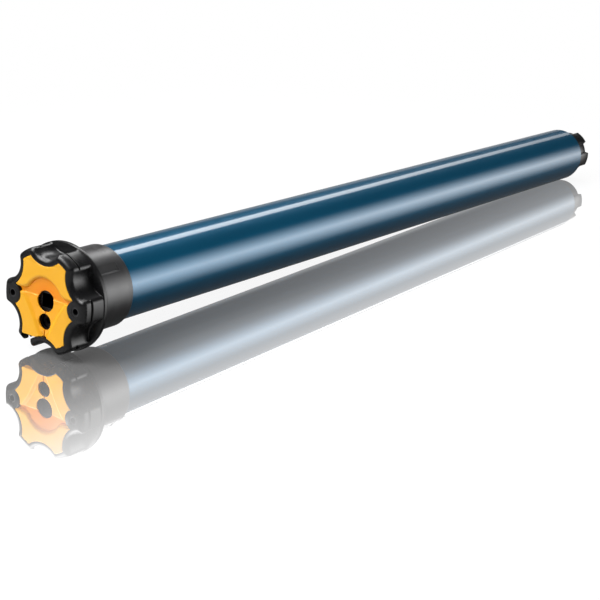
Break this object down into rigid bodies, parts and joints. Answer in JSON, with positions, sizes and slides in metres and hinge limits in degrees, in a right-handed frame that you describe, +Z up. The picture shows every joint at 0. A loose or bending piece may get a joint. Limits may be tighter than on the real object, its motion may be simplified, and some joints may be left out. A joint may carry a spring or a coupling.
{
  "type": "tubular roller blind motor",
  "caption": "Tubular motor for a roller blind, with a star shaped fixed head, a turning crown, a painted tube and a drive hub.",
  "frame": {"origin": "on the motor's axis in the plane of the star head's face, midway between the two bracket holes", "axes": "+X along the motor from the head to the drive end, +Y through the bracket hole on the cable side, +Z up"},
  "size_m": [0.9049, 0.0844, 0.0844],
  "materials": {
    "black_plastic": "satin black moulded",
    "yellow_plastic": "satin pale yellow moulded",
    "grey_plastic": "satin dark grey moulded, fine turned grain",
    "white_plastic": "natural white moulded",
    "red_plastic": "red moulded",
    "blue_paint": "petrol blue metallic lacquer on steel, glossy",
    "dark_steel": "blackened steel",
    "steel": "machined",
    "zinc": "die-cast",
    "aluminium": "die-cast",
    "brass": "machined",
    "bronze": "sintered",
    "copper": "enamelled copper wire",
    "laminations": "stacked electrical steel",
    "lead_cover": "insulated leads",
    "board": "laminate board",
    "brake_lining": "moulded friction material",
    "seal_rubber": "nitrile rubber"
  },
  "bodies": {
    "root": {"head_casting": "black_plastic", "face_cover": "yellow_plastic", "bracket_inserts": "dark_steel", "side_screw": "dark_steel", "power_socket": "black_plastic", "socket_pins": "brass", "head_screws": "steel", "tube_plug": "zinc", "motor_tube": "blue_paint", "plug_screws": "steel", "limit_frame": "white_plastic", "down_switch": "black_plastic", "inner_leads": "lead_cover", "terminal_board": "board", "capacitor": "aluminium", "capacitor_cradles": "white_plastic", "front_shield": "aluminium", "motor_bushes": "bronze", "stator_core": "laminations", "stator_windings": "copper", "thermal_cutout": "white_plastic", "rear_shield": "aluminium", "brake_plate": "steel", "brake_coil": "copper", "brake_housing": "steel", "brake_spring": "steel", "gear_case": "zinc", "gearbox_end_plate": "aluminium", "output_bushes": "bronze", "end_cap": "black_plastic", "shaft_seal": "seal_rubber"},
    "crown": {"crown": "grey_plastic"},
    "limit_idler": {"limit_idler": "white_plastic"},
    "up_spindle": {"up_spindle": "brass"},
    "down_spindle": {"down_spindle": "brass"},
    "up_nut": {"up_nut": "white_plastic"},
    "down_nut": {"down_nut": "grey_plastic"},
    "setting": {"setting_adjuster": "black_plastic"},
    "carriage": {"switch_carriage": "zinc", "up_switch": "black_plastic"},
    "up_plunger": {"up_plunger": "red_plastic"},
    "down_plunger": {"down_plunger": "red_plastic"},
    "armature": {"brake_armature": "steel"},
    "rotor": {"rotor_core": "laminations", "rotor_shaft": "steel", "brake_disc": "brake_lining"},
    "carrier_1": {"carrier_1": "steel"},
    "carrier_2": {"carrier_2": "steel"},
    "output": {"output_shaft": "steel", "drive_hub": "grey_plastic", "hub_screw": "steel"},
    "planet_1a": {"planet_1a": "white_plastic"},
    "planet_1b": {"planet_1b": "white_plastic"},
    "planet_1c": {"planet_1c": "white_plastic"},
    "planet_2a": {"planet_2a": "steel"},
    "planet_2b": {"planet_2b": "steel"},
    "planet_2c": {"planet_2c": "steel"},
    "planet_3a": {"planet_3a": "steel"},
    "planet_3b": {"planet_3b": "steel"},
    "planet_3c": {"planet_3c": "steel"}
  },
  "joints": [
    {"name": "crown_turn", "type": "hinge", "parent": "root", "child": "crown", "pos_m": [0.044, 0, 0], "axis": [1, 0, 0], "range_deg": [-6570, 6570]},
    {"name": "limit_idler_turn", "type": "hinge", "parent": "root", "child": "limit_idler", "pos_m": [0.053, 0, 0.02025], "axis": [1, 0, 0], "range_deg": [-26280.1, 26280.1]},
    {"name": "up_spindle_turn", "type": "hinge", "parent": "root", "child": "up_spindle", "pos_m": [0.1, 0.009, 0.00825], "axis": [1, 0, 0], "range_deg": [-6570.1, 6570.1]},
    {"name": "down_spindle_turn", "type": "hinge", "parent": "root", "child": "down_spindle", "pos_m": [0.1, -0.009, 0.00825], "axis": [1, 0, 0], "range_deg": [-6570.1, 6570.1]},
    {"name": "up_nut_travel", "type": "slide", "parent": "root", "child": "up_nut", "axis": [1, 0, 0], "range_m": [-0.00912, 0.00912]},
    {"name": "down_nut_travel", "type": "slide", "parent": "root", "child": "down_nut", "axis": [1, 0, 0], "range_m": [-0.00912, 0.00912]},
    {"name": "setting_turn", "type": "hinge", "parent": "root", "child": "setting", "pos_m": [0.011, 0, -0.0158], "axis": [1, 0, 0], "range_deg": [-1080, 1080]},
    {"name": "carriage_travel", "type": "slide", "parent": "root", "child": "carriage", "axis": [1, 0, 0], "range_m": [-0.003, 0.003]},
    {"name": "up_plunger_press", "type": "slide", "parent": "carriage", "child": "up_plunger", "axis": [-1, 0, 0], "range_m": [0, 0.0006], "stiffness_N_per_m": 300},
    {"name": "down_plunger_press", "type": "slide", "parent": "root", "child": "down_plunger", "axis": [1, 0, 0], "range_m": [0, 0.0006], "stiffness_N_per_m": 300},
    {"name": "brake_release", "type": "slide", "parent": "root", "child": "armature", "axis": [1, 0, 0], "range_m": [0, 0.0004], "stiffness_N_per_m": 2000, "springref_m": -0.004},
    {"name": "rotor_spin", "type": "hinge", "parent": "root", "child": "rotor", "pos_m": [0.448, 0, 0], "axis": [1, 0, 0], "continuous": true},
    {"name": "carrier_1_turn", "type": "hinge", "parent": "root", "child": "carrier_1", "pos_m": [0.687, 0, 0], "axis": [1, 0, 0], "continuous": true},
    {"name": "planet_1a_turn", "type": "hinge", "parent": "carrier_1", "child": "planet_1a", "pos_m": [0.667, 0.01485, 0], "axis": [1, 0, 0], "continuous": true},
    {"name": "planet_1b_turn", "type": "hinge", "parent": "carrier_1", "child": "planet_1b", "pos_m": [0.667, -0.00743, 0.01286], "axis": [1, 0, 0], "continuous": true},
    {"name": "planet_1c_turn", "type": "hinge", "parent": "carrier_1", "child": "planet_1c", "pos_m": [0.667, -0.00743, -0.01286], "axis": [1, 0, 0], "continuous": true},
    {"name": "carrier_2_turn", "type": "hinge", "parent": "root", "child": "carrier_2", "pos_m": [0.728, 0, 0], "axis": [1, 0, 0], "continuous": true},
    {"name": "planet_2a_turn", "type": "hinge", "parent": "carrier_2", "child": "planet_2a", "pos_m": [0.708, 0.01485, 0], "axis": [1, 0, 0], "continuous": true},
    {"name": "planet_2b_turn", "type": "hinge", "parent": "carrier_2", "child": "planet_2b", "pos_m": [0.708, -0.00743, 0.01286], "axis": [1, 0, 0], "continuous": true},
    {"name": "planet_2c_turn", "type": "hinge", "parent": "carrier_2", "child": "planet_2c", "pos_m": [0.708, -0.00743, -0.01286], "axis": [1, 0, 0], "continuous": true},
    {"name": "output_turn", "type": "hinge", "parent": "root", "child": "output", "pos_m": [0.785, 0, 0], "axis": [1, 0, 0], "continuous": true},
    {"name": "planet_3a_turn", "type": "hinge", "parent": "output", "child": "planet_3a", "pos_m": [0.765, 0.01485, 0], "axis": [1, 0, 0], "continuous": true},
    {"name": "planet_3b_turn", "type": "hinge", "parent": "output", "child": "planet_3b", "pos_m": [0.765, -0.00743, 0.01286], "axis": [1, 0, 0], "continuous": true},
    {"name": "planet_3c_turn", "type": "hinge", "parent": "output", "child": "planet_3c", "pos_m": [0.765, -0.00743, -0.01286], "axis": [1, 0, 0], "continuous": true}
  ],
  "couplings": [
    {"joint": "limit_idler_turn", "follows": "crown_turn", "ratio": 4},
    {"joint": "up_spindle_turn", "follows": "crown_turn", "ratio": -1},
    {"joint": "down_spindle_turn", "follows": "crown_turn", "ratio": -1},
    {"joint": "up_nut_travel", "follows": "crown_turn", "m_per_rad": 0.000079577},
    {"joint": "down_nut_travel", "follows": "crown_turn", "m_per_rad": 0.000079577},
    {"joint": "carriage_travel", "follows": "setting_turn", "m_per_rad": -0.00015915},
    {"joint": "carrier_1_turn", "follows": "rotor_spin", "ratio": 0.18182},
    {"joint": "planet_1a_turn", "follows": "rotor_spin", "ratio": -0.46753},
    {"joint": "planet_1b_turn", "follows": "rotor_spin", "ratio": -0.46753},
    {"joint": "planet_1c_turn", "follows": "rotor_spin", "ratio": -0.46753},
    {"joint": "carrier_2_turn", "follows": "rotor_spin", "ratio": 0.033058},
    {"joint": "planet_2a_turn", "follows": "rotor_spin", "ratio": -0.085006},
    {"joint": "planet_2b_turn", "follows": "rotor_spin", "ratio": -0.085006},
    {"joint": "planet_2c_turn", "follows": "rotor_spin", "ratio": -0.085006},
    {"joint": "output_turn", "follows": "rotor_spin", "ratio": 0.0060105},
    {"joint": "planet_3a_turn", "follows": "rotor_spin", "ratio": -0.015456},
    {"joint": "planet_3b_turn", "follows": "rotor_spin", "ratio": -0.015456},
    {"joint": "planet_3c_turn", "follows": "rotor_spin", "ratio": -0.015456}
  ]
}
